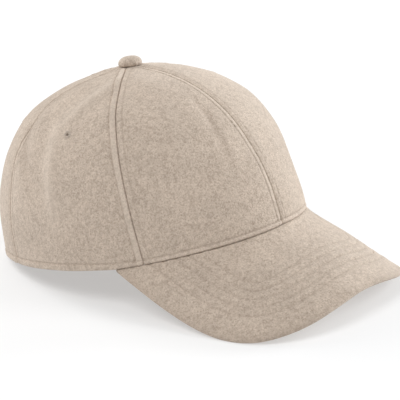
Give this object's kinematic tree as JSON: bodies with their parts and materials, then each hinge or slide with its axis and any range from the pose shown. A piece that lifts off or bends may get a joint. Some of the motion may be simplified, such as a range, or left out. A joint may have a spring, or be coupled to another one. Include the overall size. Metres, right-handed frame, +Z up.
{
  "type": "peaked cap",
  "caption": "Peaked cap sewn from crown panels in beige wool cloth, with a curved peak, a covered button and stitched eyelets, at rest on its peak and back hem.",
  "frame": {"origin": "the point on the surface that the cap rests on, below the middle of its bounding box", "axes": "+Z up from the surface, the peak points to -Y, the wearer's right is -X"},
  "size_m": [0.1786, 0.2656, 0.1339],
  "materials": {
    "wool_cloth": "napped beige wool cloth with fine light and dark fibres",
    "thread": "beige sewing thread"
  },
  "bodies": {
    "root": {"panel_front_right": "wool_cloth", "panel_front_left": "wool_cloth", "panel_side_right": "wool_cloth", "panel_side_left": "wool_cloth", "panel_back_right": "wool_cloth", "panel_back_left": "wool_cloth", "peak": "wool_cloth", "button": "wool_cloth", "eyelet_side_right": "thread", "eyelet_side_left": "thread", "eyelet_back_right": "thread", "eyelet_back_left": "thread"}
  },
  "joints": []
}
